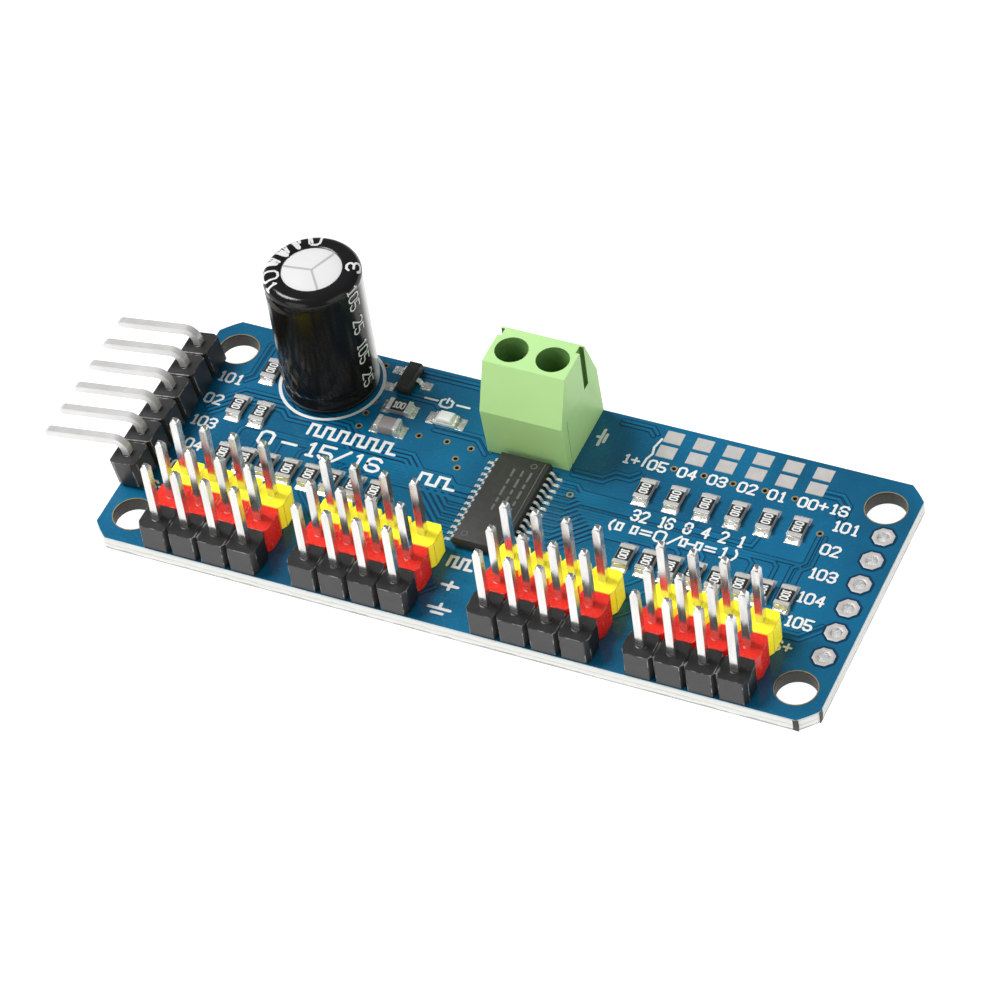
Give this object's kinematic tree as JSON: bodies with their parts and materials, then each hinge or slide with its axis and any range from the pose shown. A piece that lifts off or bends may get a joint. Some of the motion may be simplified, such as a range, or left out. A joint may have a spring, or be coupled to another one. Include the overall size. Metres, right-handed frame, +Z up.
{
  "type": "servo driver board",
  "caption": "Circuit board that drives hobby servos: rows of three-colour pin headers, a driver chip, a tall capacitor, a screw terminal and a bent control header.",
  "frame": {"origin": "centre of the circuit board's underside", "axes": "+X along the long side, towards the row of empty plated holes; +Y across the board, away from the servo headers; +Z up out of the component side"},
  "size_m": [0.0676, 0.0251, 0.0151],
  "materials": {
    "solder_mask": "glossy blue solder mask over copper, off-white glass-fibre edges",
    "black_plastic": "satin moulded nylon",
    "red_plastic": "satin moulded nylon",
    "yellow_plastic": "satin moulded nylon",
    "green_plastic": "satin moulded nylon, pale green",
    "tinned_pin": "bright tin plating",
    "plated_steel": "zinc plated",
    "sleeve_film": "glossy black shrink film with pale print",
    "can_aluminium": "satin",
    "seal_rubber": "matt",
    "chip_moulding": "matt epoxy moulding with tinned leads",
    "ceramic": "fired ceramic with tinned end caps",
    "led_lens": "milky white",
    "resistor_body": "black overglaze with tinned end caps",
    "solder": "bright solder and tinned pads, on the visual surface only",
    "legend_ink": "white printed legend, on the visual surface only",
    "laminate": "bare off-white glass-fibre edge, on the visual surface only"
  },
  "bodies": {
    "board": {"circuit_board": "solder_mask", "servo_header_1_ground": "black_plastic", "servo_header_1_power": "red_plastic", "servo_header_1_signal": "yellow_plastic", "servo_header_2_ground": "black_plastic", "servo_header_2_power": "red_plastic", "servo_header_2_signal": "yellow_plastic", "servo_header_3_ground": "black_plastic", "servo_header_3_power": "red_plastic", "servo_header_3_signal": "yellow_plastic", "servo_header_4_ground": "black_plastic", "servo_header_4_power": "red_plastic", "servo_header_4_signal": "yellow_plastic", "control_header_housing": "black_plastic", "control_pin_1": "tinned_pin", "control_pin_2": "tinned_pin", "control_pin_3": "tinned_pin", "control_pin_4": "tinned_pin", "control_pin_5": "tinned_pin", "control_pin_6": "tinned_pin", "terminal_housing": "green_plastic", "terminal_contact_left": "tinned_pin", "terminal_contact_right": "tinned_pin", "capacitor_sleeve": "sleeve_film", "capacitor_can": "can_aluminium", "capacitor_core": "seal_rubber", "driver_chip": "chip_moulding", "transistor": "chip_moulding", "ceramic_capacitor": "ceramic", "power_led": "led_lens", "series_resistor_1": "resistor_body", "series_resistor_2": "resistor_body", "series_resistor_3": "resistor_body", "series_resistor_4": "resistor_body", "series_resistor_5": "resistor_body", "series_resistor_6": "resistor_body", "series_resistor_7": "resistor_body", "series_resistor_8": "resistor_body", "series_resistor_9": "resistor_body", "series_resistor_10": "resistor_body", "series_resistor_11": "resistor_body", "series_resistor_12": "resistor_body", "series_resistor_13": "resistor_body", "series_resistor_14": "resistor_body", "series_resistor_15": "resistor_body", "series_resistor_16": "resistor_body", "address_resistor_1": "resistor_body", "address_resistor_2": "resistor_body", "address_resistor_3": "resistor_body", "address_resistor_4": "resistor_body", "address_resistor_5": "resistor_body", "address_resistor_6": "resistor_body", "pull_up_resistor_1": "resistor_body", "pull_up_resistor_2": "resistor_body", "pull_up_resistor_3": "resistor_body", "led_resistor": "resistor_body"},
    "screw_left": {"terminal_screw_left": "plated_steel"},
    "screw_right": {"terminal_screw_right": "plated_steel"},
    "cage_left": {"terminal_cage_left": "plated_steel"},
    "cage_right": {"terminal_cage_right": "plated_steel"}
  },
  "joints": [
    {"name": "terminal_screw_left_turn", "type": "hinge", "parent": "board", "child": "screw_left", "pos_m": [-0.0022, 0.0085, 0.0063], "axis": [0, 0, -1], "range_deg": [0, 900]},
    {"name": "terminal_cage_left_lift", "type": "slide", "parent": "board", "child": "cage_left", "axis": [0, 0, 1], "range_m": [0, 0.001]},
    {"name": "terminal_screw_right_turn", "type": "hinge", "parent": "board", "child": "screw_right", "pos_m": [0.0013, 0.0085, 0.0063], "axis": [0, 0, -1], "range_deg": [0, 900]},
    {"name": "terminal_cage_right_lift", "type": "slide", "parent": "board", "child": "cage_right", "axis": [0, 0, 1], "range_m": [0, 0.001]}
  ],
  "couplings": [
    {"joint": "terminal_screw_left_turn", "follows": "terminal_cage_left_lift", "rad_per_m": 15708},
    {"joint": "terminal_screw_right_turn", "follows": "terminal_cage_right_lift", "rad_per_m": 15708}
  ]
}
